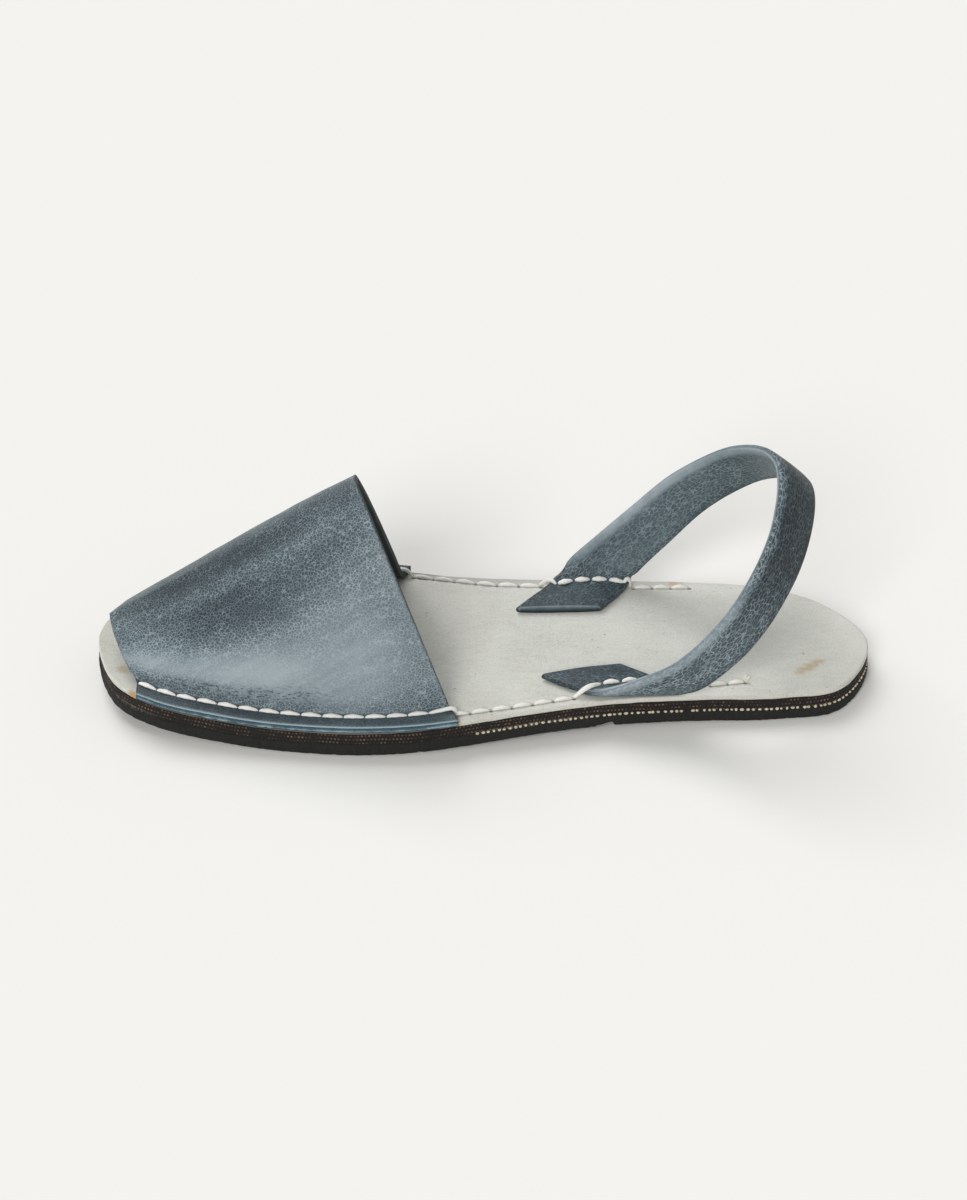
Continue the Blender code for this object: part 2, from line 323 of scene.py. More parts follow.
def shades(pale):
    """Marks for a paleness that is dark where it falls below zero."""
    return {"pale": np.clip(pale, 0.0, None), "dark": np.clip(-pale, 0.0, None)}


def strip_faces(first, second, closed):
    """Quads between two equal rows of point numbers."""
    count = len(first)
    last = count if closed else count - 1
    return [(first[i], first[(i + 1) % count], second[(i + 1) % count], second[i]) for i in range(last)]


class Points:
    """Growing list of points, faces, face slots and named values of one mesh."""

    def __init__(self, *labels):
        self.points = []
        self.faces = []
        self.face_slots = []
        self.marks = {label: [] for label in labels}
        self.count = 0

    def add(self, points, **marks):
        """Append points and return their numbers; a value not named is zero."""
        points = np.asarray(points, dtype=float).reshape(-1, 3)
        size = len(points)
        self.points.append(points)
        for label, store in self.marks.items():
            store.append(np.broadcast_to(np.asarray(marks.get(label, 0.0), dtype=float).ravel(), (size,)))
        numbers = np.arange(self.count, self.count + size)
        self.count += size
        return numbers

    def face(self, faces, slot=0):
        """Append faces that use one material slot."""
        faces = [tuple(int(n) for n in one) for one in faces]
        self.faces += faces
        self.face_slots += [slot] * len(faces)

    def tube(self, rings, capped=False):
        """Join closed rings of points in a row, with a face over each end where it is capped."""
        for low, high in zip(rings, rings[1:]):
            self.face(strip_faces(low, high, True))
        if capped:
            self.face([rings[0], rings[-1]])

    def piece(self, name, slots):
        """Mesh piece that rides on the sandal, with smooth shading and the named point values."""
        mesh = bpy.data.meshes.new(name)
        mesh.from_pydata(place(np.vstack(self.points)).tolist(), [], self.faces)
        for material in slots:
            mesh.materials.append(material)
        mesh.polygons.foreach_set("material_index", np.array(self.face_slots, dtype=np.int32))
        for label, store in self.marks.items():
            layer = mesh.attributes.new(label, "FLOAT", "POINT")
            layer.data.foreach_set("value", np.concatenate(store).astype(np.float32))
        shell = bmesh.new()
        shell.from_mesh(mesh)
        bmesh.ops.recalc_face_normals(shell, faces=shell.faces)
        shell.to_mesh(mesh)
        shell.free()
        mesh.shade_smooth()
        item = show(name, mesh)
        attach(item, "root")
        return item


# Material helpers

# Slope of the streaks in the vamp's leather
STREAK_SLOPE = math.radians(33.0)


class Nodes:
    """Short ways to lay out one material's nodes."""

    def __init__(self, name):
        self.material = bpy.data.materials.new(name)
        self.material.use_nodes = True
        self.tree = self.material.node_tree
        self.shader = self.tree.nodes["Principled BSDF"]
        metres = self.node("TexCoord", {}).outputs["Object"]
        self.place = self.node("VectorMath", {0: metres, "Scale": 1.0 / MM}, operation="SCALE").outputs[0]

    def join(self, value, socket):
        """Link an output, or set a plain value."""
        if isinstance(value, bpy.types.NodeSocket):
            self.tree.links.new(value, socket)
        else:
            socket.default_value = value

    def node(self, kind, sockets, **settings):
        """New node with its settings, its sockets linked or set."""
        node = self.tree.nodes.new("ShaderNode" + kind)
        for label, value in settings.items():
            setattr(node, label, value)
        for label, value in sockets.items():
            self.join(value, node.inputs[label])
        return node

    def math(self, operation, one, two=0.0, three=0.0, clamp=False):
        """Sum, product or other result of up to three values."""
        sockets = {0: one, 1: two, 2: three}
        return self.node("Math", sockets, operation=operation, use_clamp=clamp).outputs[0]

    def mark(self, label):
        """Named value of the mesh's points."""
        return self.node("Attribute", {}, attribute_name=label).outputs["Fac"]

    def noise(self, scale, detail=2.0, rough=0.5, at=None):
        """Noise with scale features per millimetre."""
        at = self.place if at is None else at
        sockets = {"Scale": scale, "Detail": detail, "Roughness": rough, "Vector": at}
        return self.node("TexNoise", sockets).outputs["Fac"]

    def stretched(self, x, y, z):
        """Coordinates with each axis scaled."""
        return self.node("Mapping", {"Scale": (x, y, z), "Vector": self.place}).outputs[0]

    def chance(self, x, y):
        """Random value from 0 to 1 for each pair of whole numbers."""
        pair = self.node("CombineXYZ", {"X": self.math("FLOOR", x), "Y": self.math("FLOOR", y)})
        sockets = {"Vector": pair.outputs["Vector"]}
        return self.node("TexWhiteNoise", sockets, noise_dimensions="2D").outputs["Value"]

    def drawn_out(self, length, width):
        """Coordinates for streaks that climb from the toe's foot to the throat's crown."""
        sockets = {"Rotation": (0.0, STREAK_SLOPE, 0.0), "Scale": (length, width, width),
                   "Vector": self.place}
        return self.node("Mapping", sockets, vector_type="TEXTURE").outputs[0]

    def sheet(self, stretch):
        """Coordinates on a band from its own reach and width marks, drawn out along it."""
        along = self.math("DIVIDE", self.mark("reach"), stretch)
        return self.node("CombineXYZ", {"X": along, "Y": self.mark("wide")}).outputs["Vector"]

    def warped(self, scale, amount, at=None):
        """Coordinates pushed about by noise, in millimetres."""
        at = self.place if at is None else at
        push = self.node("TexNoise", {"Scale": scale, "Vector": at}).outputs["Color"]
        sockets = {0: push, 1: (amount,) * 3, 2: at}
        return self.node("VectorMath", sockets, operation="MULTIPLY_ADD").outputs[0]

    def cells(self, scale, at, feature="DISTANCE_TO_EDGE"):
        """Distance from the edges of irregular cells, or with F1 from their middles."""
        sockets = {"Scale": scale, "Vector": at}
        return self.node("TexVoronoi", sockets, feature=feature).outputs["Distance"]

    def span(self, value, low, high, to_low=0.0, to_high=1.0):
        """Clamped change of range."""
        sockets = {"Value": value, "From Min": low, "From Max": high, "To Min": to_low, "To Max": to_high}
        return self.node("MapRange", sockets).outputs[0]

    def total(self, start, *terms):
        """Start plus each value times its weight."""
        result = start
        for value, weight in terms:
            result = self.math("MULTIPLY_ADD", value, weight, result)
        return result

    def colours(self, value, stops):
        """Colour ramp of (position, colour) stops."""
        node = self.node("ValToRGB", {"Fac": value})
        band = node.color_ramp
        while len(band.elements) < len(stops):
            band.elements.new(0.5)
        for element, (position, colour) in zip(band.elements, stops):
            element.position = position
            element.color = (*colour, 1.0)
        return node.outputs["Color"]

    def mix(self, share, one, two):
        """Colour one where share is 0, colour two where it is 1."""
        node = self.node("Mix", {"Factor": share}, data_type="RGBA")
        for value, label in ((one, "A"), (two, "B")):
            socket = [s for s in node.inputs if s.name == label and s.type == "RGBA"][0]
            self.join((*value, 1.0) if isinstance(value, tuple) else value, socket)
        return [s for s in node.outputs if s.type == "RGBA"][0]

    def bump(self, height, depth):
        """Normal from a height, depth in millimetres."""
        sockets = {"Height": height, "Distance": depth * MM, "Strength": 1.0}
        return self.node("Bump", sockets).outputs["Normal"]

    def set(self, **values):
        """Set or link the shader's sockets; underscores stand for spaces."""
        for label, value in values.items():
            self.join(value, self.shader.inputs[label.replace("_", " ")])
        return self.material


# Colours of the leather from its darkest tone to its palest
LEATHER_TONES = [
    (0.0, (0.009, 0.016, 0.021)),
    (0.25, (0.026, 0.043, 0.054)),
    (0.5, (0.079, 0.117, 0.136)),
    (0.75, (0.188, 0.243, 0.270)),
    (1.0, (0.345, 0.408, 0.440)),
]
# Grain of a leather: middle tone, cells of the net per millimetre, half the width of its lines,
# its weight, the share of that where it is faintest, its mean cover, and the weight of the pits
Hide = namedtuple("Hide", "base cells line net faintest cover pits")
VAMP_HIDE = Hide(0.522, 1.0, 0.12, 0.46, 0.78, 0.27, 0.16)
STRAP_HIDE = Hide(0.42, 1.05, 0.125, 0.56, 0.62, 0.27, 0.30)
# How much a pale or dark mark and a fleck change the leather's tone; the pale and dark marks carry rubbed
# or bent leather as well as painted highlight and painted shade
RUB_AND_PAINTED_LIGHT = 0.34
FLECKED = 0.32


def make_leather(name, hide, stretch=None):
    """Waxy pull-up leather: a light net of grain over dark pits, pale where it is rubbed or bent and where
    a highlight is painted, dark where shade is painted.

    Stretch draws the net's cells out along a band; without it the streaks follow the vamp's slope.
    """
    n = Nodes(name)
    flat = n.place if stretch is None else n.sheet(stretch)
    edge = n.cells(hide.cells, n.warped(0.9, 0.6, flat))
    line = hide.line * hide.cells
    shown = n.span(n.noise(0.25, 2.0, 0.5, at=flat), 0.36, 0.60, hide.faintest, 1.0)
    net = n.math("MULTIPLY", n.span(edge, 0.25 * line, line, 1.0, 0.0), shown)
    pits = n.noise(2.0, 3.0, 0.65)
    cloud = n.noise(0.10, 3.0, 0.55)
    drawn = n.drawn_out(24.0, 3.0) if stretch is None else n.stretched(0.4, 0.4, 0.4)
    streak = n.noise(1.0, 3.0, 0.6, at=drawn)
    pale = n.mark("pale")
    # The grain fades where the leather is pale, as it does in the painted highlight
    calm = n.span(pale, 0.2, 1.0, 1.0, 0.30)
    grainy = n.total(-0.5 * hide.pits - hide.cover * hide.net, (pits, hide.pits), (net, hide.net))
    calm = n.total(calm, (n.mark("calm"), -1.0), (n.mark("flecks"), -0.30))
    rough = n.math("MULTIPLY", grainy, calm)
    tone = n.total(hide.base - 0.22, (rough, 1.0), (cloud, 0.16), (streak, 0.28))
    specks = n.span(n.noise(1.1, 2.0, at=n.stretched(0.5, 1.0, 1.4)), 0.55, 0.64)
    fleck = n.math("MULTIPLY", specks, n.mark("flecks"))
    # Pale and dark marks: rubbed leather, painted highlight and painted shade
    tone = n.total(tone, (pale, RUB_AND_PAINTED_LIGHT), (n.mark("dark"), -RUB_AND_PAINTED_LIGHT), (fleck, -FLECKED))
    colour = n.colours(n.math("ADD", tone, 0.0, clamp=True), LEATHER_TONES)
    height = n.total(0.0, (net, 0.5), (pits, 0.8), (n.noise(0.7, 2.0), 0.5))
    return n.set(Base_Color=colour,
                 Roughness=n.total(0.46, (pits, 0.20), (pale, -0.10)),
                 Specular_IOR_Level=0.45,
                 Coat_Weight=0.16,
                 Coat_Roughness=0.34,
                 Normal=n.bump(height, 0.11))


def make_flesh():
    """Dark slate suede on the back of the vamp's leather."""
    n = Nodes("leather_flesh_side")
    nap = n.noise(2.2, 5.0, 0.7)
    cloud = n.noise(0.15, 3.0)
    tone = n.total(0.0, (nap, 0.55), (cloud, 0.45))
    colour = n.colours(tone, [(0.25, (0.030, 0.038, 0.040)), (0.5, (0.068, 0.082, 0.084)),
                              (0.8, (0.13, 0.145, 0.145))])
    return n.set(Base_Color=colour, Roughness=0.95, Specular_IOR_Level=0.2, Sheen_Weight=0.15,
                 Normal=n.bump(nap, 0.14))


def make_cut_edge():
    """Dyed cut edge of the vamp's flange, fibrous, with pale corners: the lower one frayed, the upper one
    rubbed and partly a painted highlight.
    """
    n = Nodes("leather_cut_edge")
    fibre = n.noise(1.0, 5.0, 0.75, at=n.stretched(1.3, 1.3, 3.2))
    cloud = n.noise(0.2, 2.0)
    tone = n.total(0.0, (fibre, 0.7), (cloud, 0.3), (n.mark("pale"), 0.42))
    colour = n.colours(tone, [(0.2, (0.010, 0.022, 0.032)), (0.45, (0.028, 0.058, 0.080)),
                              (0.65, (0.080, 0.140, 0.175)), (0.95, (0.32, 0.45, 0.51))])
    return n.set(Base_Color=colour, Roughness=0.9, Specular_IOR_Level=0.25, Normal=n.bump(fibre, 0.2))


def make_suede():
    """Pale warm-grey insole leather with a short nap, specks, holes, marks of wear and painted shade on its
    cut edge under the vamp's flanges.
    """
    n = Nodes("insole_suede")
    nap = n.noise(1.7, 5.0, 0.72)
    cloud = n.noise(0.06, 3.0)
    brush = n.noise(0.5, 3.0, 0.6, at=n.stretched(0.35, 1.4, 1.0))
    tone = n.total(-0.22, (nap, 0.86), (cloud, 0.33), (brush, 0.25))
    colour = n.colours(tone, [(0.25, (0.48, 0.48, 0.435)), (0.5, (0.635, 0.638, 0.582)),
                              (0.75, (0.745, 0.748, 0.69))])
    speck = n.span(n.cells(0.16, n.warped(0.5, 2.0), "F1"), 0.035, 0.075, 0.55, 0.0)
    colour = n.mix(speck, colour, (0.20, 0.185, 0.165))
    colour = n.mix(n.mark("grey"), colour, (0.36, 0.37, 0.335))
    colour = n.mix(n.mark("tan"), colour, (0.44, 0.275, 0.105))
    # Dark brown of the stitch holes, also the painted shade on the cut edge under the flanges
    colour = n.mix(n.mark("hole"), colour, (0.075, 0.065, 0.052))
    return n.set(Base_Color=colour, Roughness=0.93, Specular_IOR_Level=0.2, Sheen_Weight=0.12,
                 Sheen_Roughness=0.5, Normal=n.bump(nap, 0.11))


# Cut threads of the ply: distance between their rows and between the threads of a row
DOT_ROWS = 1.4
DOT_PITCH = 1.15


def make_rubber():
    """Knife-cut tyre rubber: black tread below, brown ply with rows of cut threads above."""
    n = Nodes("tyre_rubber")
    along = n.mark("reach")
    wave = n.noise(0.05, 1.0)
    level = n.total(n.mark("level"), (wave, 2.4))
    coarse = n.noise(0.9, 5.0, 0.7)
    cut = n.noise(1.0, 4.0, 0.65, at=n.stretched(1.6, 1.6, 0.35))
    ply = n.mark("ply")
    base = n.total(0.0, (coarse, 0.5), (cut, 0.5))
    black = n.colours(base, [(0.3, (0.006, 0.006, 0.0055)), (0.55, (0.015, 0.0148, 0.014)),
                             (0.8, (0.040, 0.039, 0.036))])
    brown = n.colours(base, [(0.3, (0.005, 0.0045, 0.004)), (0.55, (0.012, 0.0105, 0.009)),
                             (0.8, (0.030, 0.026, 0.022))])
    row = n.math("DIVIDE", level, DOT_ROWS)
    shift = n.math("MULTIPLY", n.math("FLOOR", row), 0.37)
    turn = n.math("ADD", n.math("DIVIDE", along, DOT_PITCH), shift)
    side = n.math("MULTIPLY_ADD", n.math("FRACT", turn), DOT_PITCH, -0.5 * DOT_PITCH)
    up = n.math("MULTIPLY_ADD", n.math("FRACT", row), DOT_ROWS, -0.5 * DOT_ROWS)
    gap = n.math("SQRT", n.math("ADD", n.math("POWER", side, 2.0), n.math("POWER", up, 2.0)))
    shown = n.span(n.noise(0.2, 2.0), 0.38, 0.56, 0.1, 1.0)
    bright = n.span(n.chance(turn, row), 0.0, 1.0, 0.1, 1.0)
    dot = n.math("MULTIPLY", n.span(gap, 0.16, 0.38, 1.0, 0.0), shown)
    dot = n.math("MULTIPLY", dot, n.math("MULTIPLY", ply, bright))
    colour = n.mix(ply, black, brown)
    colour = n.mix(dot, colour, (0.24, 0.135, 0.085))
    smear = n.math("MULTIPLY", n.mark("smear"), n.span(cut, 0.42, 0.66))
    colour = n.mix(n.math("MULTIPLY", smear, 0.6), colour, (0.30, 0.275, 0.225))
    height = n.total(0.0, (coarse, 0.5), (cut, 0.6), (dot, 0.25))
    return n.set(Base_Color=colour, Roughness=n.total(0.70, (coarse, 0.25)), Specular_IOR_Level=0.35,
                 Normal=n.bump(height, 0.28))


def make_thread():
    """Waxed cream thread, yellower where it lies in the insole."""
    n = Nodes("waxed_thread")
    fuzz = n.noise(3.0, 4.0, 0.7)
    colour = n.colours(fuzz, [(0.3, (0.80, 0.785, 0.735)), (0.55, (0.90, 0.89, 0.85)),
                              (0.8, (0.93, 0.925, 0.90))])
    colour = n.mix(n.mark("aged"), colour, (0.56, 0.49, 0.34))
    return n.set(Base_Color=colour, Roughness=0.72, Specular_IOR_Level=0.3, Sheen_Weight=0.1,
                 Normal=n.bump(fuzz, 0.10))


def make_cord():
    """Cream tyre cord, cut through and a little dirty."""
    n = Nodes("tyre_cord")
    dirt = n.noise(0.9, 4.0, 0.7)
    colour = n.colours(dirt, [(0.25, (0.30, 0.24, 0.15)), (0.5, (0.62, 0.55, 0.40)),
                              (0.75, (0.80, 0.74, 0.58))])
    return n.set(Base_Color=colour, Roughness=0.85, Specular_IOR_Level=0.2, Normal=n.bump(dirt, 0.12))


LEATHER = make_leather("vamp_leather", VAMP_HIDE)
STRAP_SKIN = make_leather("strap_leather", STRAP_HIDE, stretch=2.2)
FLESH = make_flesh()
CUT_EDGE = make_cut_edge()
SUEDE = make_suede()
TYRE = make_rubber()
THREAD = make_thread()
CORD = make_cord()


# Sole

# Columns of a cap: their distances from its edge, how many fill the middle, and the width
# below which those at the edge move closer together
EDGE_COLUMNS = [0.5 * step for step in range(1, 17)]
MIDDLE_COLUMNS = 20
NARROW = 24.0


def cap_rows(ring):
    """Grid of places between a ring's lateral and medial edges, a row per pair of points."""
    count = len(ring)
    rows = []
    for i in range(1, SIDE_COUNT):
        left = ring[i]
        right = ring[count - i]
        width = np.linalg.norm(right - left)
        near = np.array(EDGE_COLUMNS) * min(1.0, width / NARROW) / width
        middle = np.linspace(near[-1], 1.0 - near[-1], MIDDLE_COLUMNS + 2)[1:-1]
        shares = np.concatenate([near, middle, 1.0 - near[::-1]])
        rows.append(left + shares[:, None] * (right - left))
    return rows


def close_with_cap(shell, numbers, ring, height, **marks):
    """Fill a ring with a fine grid; height and marks are functions of along and across."""
    count = len(ring)
    lines = []
    for i, row in enumerate(cap_rows(ring[:, :2]), start=1):
        spots = np.column_stack([row, height(row[:, 0], row[:, 1])])
        values = {label: rule(row[:, 0], row[:, 1]) for label, rule in marks.items()}
        inner = shell.add(spots, **values)
        lines.append(np.concatenate([[numbers[i]], inner, [numbers[count - i]]]))
    for tip, line in ((numbers[0], lines[0]), (numbers[SIDE_COUNT], lines[-1])):
        shell.face([(tip, a, b) for a, b in zip(line, line[1:])])
    for low, high in zip(lines, lines[1:]):
        shell.face(strip_faces(low, high, False))


def groove_depth(along, across):
    """How far the tread grooves cut up into the rubber."""
    depth = np.zeros_like(along)
    for groove in GROOVES:
        share = (across - groove.across_start) / (groove.across_end - groove.across_start)
        wall = groove.along_start + share * (groove.along_end - groove.along_start)
        behind = 1.0 - (wall - along) / GROOVE_STEEP
        ahead = 1.0 - (along - wall) / groove.slope
        cut = groove.depth * np.clip(np.minimum(behind, ahead), 0.0, 1.0)
        depth = np.maximum(depth, np.where((share > 0.0) & (share < 1.0), cut, 0.0))
    return depth


# Height of the pale smears of cord at the toe and the waist
SMEAR_LEVEL = 5.0


def make_outsole():
    """Rubber with knife-cut sides, a nicked ground edge and the tread grooves."""
    shell = Points("reach", "level", "ply", "smear")
    along, across = RING.T
    smeared = ramp(along, 226.0, 238.0) * ramp(across, 6.0, 16.0)
    smeared += ramp(along, 88.0, 100.0) * ramp(along, 134.0, 118.0)
    nick = 0.45 * np.clip(bumps(RING_REACH * 0.55, 0.0, 3), 0.0, None) ** 2
    nick += 0.35 * np.clip(bumps(RING_REACH * 1.6, 0.0, 4) - 0.25, 0.0, None)
    rings = []
    for step in RUBBER_STEPS:
        ripple = 0.16 * bumps(RING_REACH * 0.8, step.level * 0.25, 5)
        ripple += 0.10 * bumps(RING_REACH * 0.22, step.level * 0.5, 6)
        spots = RING + (step.outward + step.rough * ripple)[:, None] * RING_OUT
        floor = groove_depth(spots[:, 0], spots[:, 1])
        floor = np.maximum(floor, nick * ramp(step.level, 3.0, 0.0))
        up = np.maximum(step.level, floor)
        smear = smeared * ramp(abs(step.level - SMEAR_LEVEL), 0.9, 0.2)
        numbers = shell.add(np.column_stack([spots, lift(spots[:, 0]) + up]), reach=RING_REACH,
                            level=up, ply=ramp(step.level, 4.3, 4.8), smear=smear)
        rings.append((numbers, spots))
    shell.tube([numbers for numbers, _ in rings])

    def under(x, y):
        worn = 0.12 * np.clip(bumps(x * 0.4, y * 0.4, 8), 0.0, None)
        return lift(x) + np.maximum(groove_depth(x, y), worn)

    def over(x, y):
        return lift(x) + RUBBER

    close_with_cap(shell, *rings[0], under)
    close_with_cap(shell, *rings[-1], over)
    piece = shell.piece("outsole_rubber", [TYRE])
    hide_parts("outsole")


make_outsole()


# Insole with its two stitched lines

INSOLE_STEPS = table("outward level", [
    (-0.25, RUBBER + SEAT),
    (0.0, RUBBER + 0.4),
    (0.05, RUBBER + 0.9),
    (0.0, INSOLE_TOP - 0.45),
    (-0.12, INSOLE_TOP - 0.15),
    (-0.45, INSOLE_TOP),
])
# Stitched lines: the places that a line runs through, and how many stitches it has
StitchRun = namedtuple("StitchRun", "spots count")
INSOLE_RUNS = [
    StitchRun([(136.7, 38.5), (115.5, 35.6), (97.1, 32.1)], 6),
    StitchRun([(52.9, 24.8), (41.5, 22.8)], 2),
    StitchRun([(147.9, -36.9), (122.2, -29.9), (104.8, -27.9)], 6),
    StitchRun([(73.6, -27.2), (54.6, -27.9)], 3),
]
# Tan smudges and scorched edges of the suede: both ends, half width and strength
TAN_MARKS = table("along across along_end across_end size amount", [
    (241.3, 14.9, 240.2, 15.8, 2.6, 0.5),
    (236.8, 27.4, 235.8, 28.4, 2.6, 0.8),
    (23.6, 17.9, 15.8, 12.7, 2.0, 0.6),
    (135.5, 41.6, 134.5, 41.6, 2.2, 0.6),
    (60.0, -31.0, 58.0, -31.0, 2.6, 0.5),
])

# Tan of the whole cut edge, and the stretch of that edge under the vamp's flanges that is darkened with
# painted shade
EDGE_TAN = 0.06
EDGE_SHADE = 0.85
SHADE_FROM = 137.0
SHADE_TO = 236.0
# Inner edge of the insole's worn margin on the medial side
GREY_LINE = np.array([(50.0, -28.6), (73.6, -27.9), (104.8, -28.6),
                      (122.2, -30.6), (147.9, -37.6), (165.0, -43.0)])


def run_holes(run):
    """Places where a run's thread goes through the leather, evenly along its line."""
    return evenly(np.array(run.spots, dtype=float), run.count)


HOLES = np.vstack([run_holes(run) for run in INSOLE_RUNS])


def hole_gap(spots):
    """Distance of each place from the nearest hole."""
    return np.linalg.norm(spots[:, None, :] - HOLES[None, :, :], axis=2).min(axis=1)


def insole_height(x, y):
    """Upper face of the insole with its soft waves and the dents of the stitches."""
    spots = np.column_stack([x, y])
    height = lift(x) + INSOLE_TOP + 0.10 * bumps(x * 0.05, y * 0.06, 11)
    height += 0.04 * bumps(x * 0.3, y * 0.3, 12)
    for run in INSOLE_RUNS:
        for start, end in zip(run.spots, run.spots[1:]):
            gap, _ = distance_to(spots, start, end)
            height -= 0.16 * ramp(gap, 2.2, 0.4)
    return height - 0.45 * ramp(hole_gap(spots), 1.4, 0.2)


def hole_mark(x, y):
    """Dark holes where the thread dives."""
    return 0.9 * ramp(hole_gap(np.column_stack([x, y])), 0.95, 0.3)


def grey_mark(x, y):
    """Worn grey margin outside the medial stitched line."""
    line = np.interp(x, GREY_LINE[:, 0], GREY_LINE[:, 1])
    ends = ramp(x, GREY_LINE[0, 0], GREY_LINE[0, 0] + 20.0)
    return 0.55 * ramp(y, line + 0.4, line - 1.2) * ends


def tan_mark(x, y):
    """Tan smudges on the suede."""
    spots = np.column_stack([x, y])
    value = np.zeros(len(spots))
    for tan in TAN_MARKS:
        gap, _ = distance_to(spots, (tan.along, tan.across), (tan.along_end, tan.across_end))
        ragged = 0.25 * bumps(x * 0.5, y * 0.5, 14) + 0.25 * bumps(x * 1.7, y * 1.7, 16)
        value = np.maximum(value, tan.amount * ramp(gap / tan.size + ragged, 1.0, 0.2))
    return value


def make_insole():
    """Suede sheet with a softened cut edge."""
    shell = Points("hole", "grey", "tan")
    rings = []
    for step in INSOLE_STEPS:
        ripple = 0.12 * bumps(RING_REACH * 0.3, step.level, 15)
        spots = RING + (step.outward + ripple)[:, None] * RING_OUT
        top = lift(spots[:, 0]) + step.level
        tan = EDGE_TAN + tan_mark(spots[:, 0], spots[:, 1])
        grey = grey_mark(spots[:, 0], spots[:, 1])
        shade = ramp(spots[:, 0], SHADE_FROM, SHADE_FROM + 5.0)
        shade *= ramp(spots[:, 0], SHADE_TO, SHADE_TO - 4.0)
        # Painted shade on the edge under the vamp's flanges
        numbers = shell.add(np.column_stack([spots, top]), tan=tan, grey=grey, hole=EDGE_SHADE * shade)
        rings.append((numbers, spots))
    shell.tube([numbers for numbers, _ in rings])

    def under(x, y):
        return lift(x) + RUBBER + SEAT

    close_with_cap(shell, *rings[0], under)
    close_with_cap(shell, *rings[-1], insole_height, hole=hole_mark, grey=grey_mark, tan=tan_mark)
    piece = shell.piece("insole_suede", [SUEDE])
    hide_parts("insole")


make_insole()


# Vamp

def mixed_edge(share):
    """Vamp edge a share of the way from the toe to the throat."""
    return VampEdge(*(a + share * (b - a) for a, b in zip(TOE_EDGE, THROAT_EDGE)))


def vamp_foot(along, lateral, flange_back):
    """A flange's outer edge, the start of its bend and the corner under the wall."""
    out = 1.0 if lateral else -1.0
    edge = edge_across(along, lateral)
    top = lift(along) + ON_INSOLE + VAMP_LEATHER
    rim = np.array([along - flange_back, edge + out * FLANGE_OVER, top])
    corner = np.array([along, edge - out * FLANGE_INSET, top])
    bend = corner + np.array([-0.5 * flange_back, out * FLANGE_BEND, 0.0])
    return rim, bend, corner


def arch_point(edge, foot_a, foot_b, turn):
    """Point of a vamp arch, turn running from the lateral foot to the medial one."""
    middle = 0.5 * (foot_a + foot_b)
    power = 2.0 / edge.roundness
    reach = abs(math.cos(turn)) ** power
    rise = math.sin(turn) ** power
    foot = foot_a if turn < 0.5 * math.pi else foot_b
    point = middle + reach * (foot - middle)
    point[0] += (edge.crown_along - middle[0]) * ((1.0 - edge.sweep) * rise + edge.sweep * (1.0 - reach))
    point[1] += (edge.crown_across - middle[1]) * rise
    point[2] += (edge.crown_up - middle[2]) * rise
    return point


def vamp_section(edge):
    """Outer face of the vamp across one section, rim to rim."""
    lateral = vamp_foot(edge.lateral_along, True, edge.flange_back)
    medial = vamp_foot(edge.medial_along, False, edge.flange_back)
    foot_a = lateral[-1]
    foot_b = medial[-1]
    height = edge.crown_up - 0.5 * (foot_a[2] + foot_b[2])
    start = math.asin((FLANGE_BEND / height) ** (0.5 * edge.roundness))
    turns = [start + (math.pi - 2.0 * start) * i / ARCH_STEPS for i in range(ARCH_STEPS + 1)]
    arch = [arch_point(edge, foot_a, foot_b, turn) for turn in turns]
    sides = []
    for (rim, bend, foot), end in ((lateral, arch[0]), (medial, arch[-1])):
        side = [rim + share * (bend - rim) for share in FLANGE_SHARES]
        for step in range(BEND_STEPS):
            share = step / BEND_STEPS
            keep = (1.0 - share) ** 2
            pull = 2.0 * share * (1.0 - share)
            side.append(keep * bend + pull * foot + share ** 2 * end)
        sides.append(side)
    return sides[0] + arch + sides[1][::-1]


def sheet_normals(sheet):
    """Outward direction at each point of a grid that runs back along and over across."""
    return unit(np.cross(np.gradient(sheet, axis=0), np.gradient(sheet, axis=1)))


FLANGE_COLUMNS = len(FLANGE_SHARES)
FOOT_COLUMNS = FLANGE_COLUMNS + BEND_STEPS
VAMP_SHEET = np.array([vamp_section(mixed_edge(i / VAMP_STATIONS)) for i in range(VAMP_STATIONS + 1)])
VAMP_NORMAL = sheet_normals(VAMP_SHEET)

# Creases and bands of the vamp: share back from the toe edge, share of the turn from the
# lateral foot to the medial one, width and height in millimetres, and how much paler the ridge is;
# a negative value darkens the trough with painted shade
CREASES = table("back_start turn_start back_end turn_end width height pale", [
    (0.10, 0.16, 0.95, 0.22, 9.0, 0.35, 0.25),
    (0.15, 0.29, 0.98, 0.36, 7.0, -0.35, -0.25),
    (0.20, 0.36, 1.00, 0.42, 6.0, 0.25, 0.35),
    (0.05, 0.42, 0.90, 0.47, 8.0, -0.30, -0.25),
    (0.25, 0.58, 1.00, 0.62, 7.0, 0.25, 0.20),
    (0.15, 0.70, 0.90, 0.76, 9.0, -0.30, -0.15),
    (0.20, 0.84, 0.85, 0.86, 8.0, 0.30, 0.25),
    # Short wrinkles above the stitched lines, darkened with painted shade
    (0.24, 0.055, 0.33, 0.052, 1.1, -0.28, -0.55),
    (0.38, 0.050, 0.47, 0.047, 1.0, -0.26, -0.5),
    (0.53, 0.045, 0.60, 0.046, 1.0, -0.22, -0.4),
    (0.12, 0.060, 0.18, 0.058, 1.0, -0.20, -0.4),
    (0.30, 0.945, 0.40, 0.948, 1.1, -0.26, -0.5),
    (0.50, 0.950, 0.58, 0.952, 1.0, -0.22, -0.4),
])
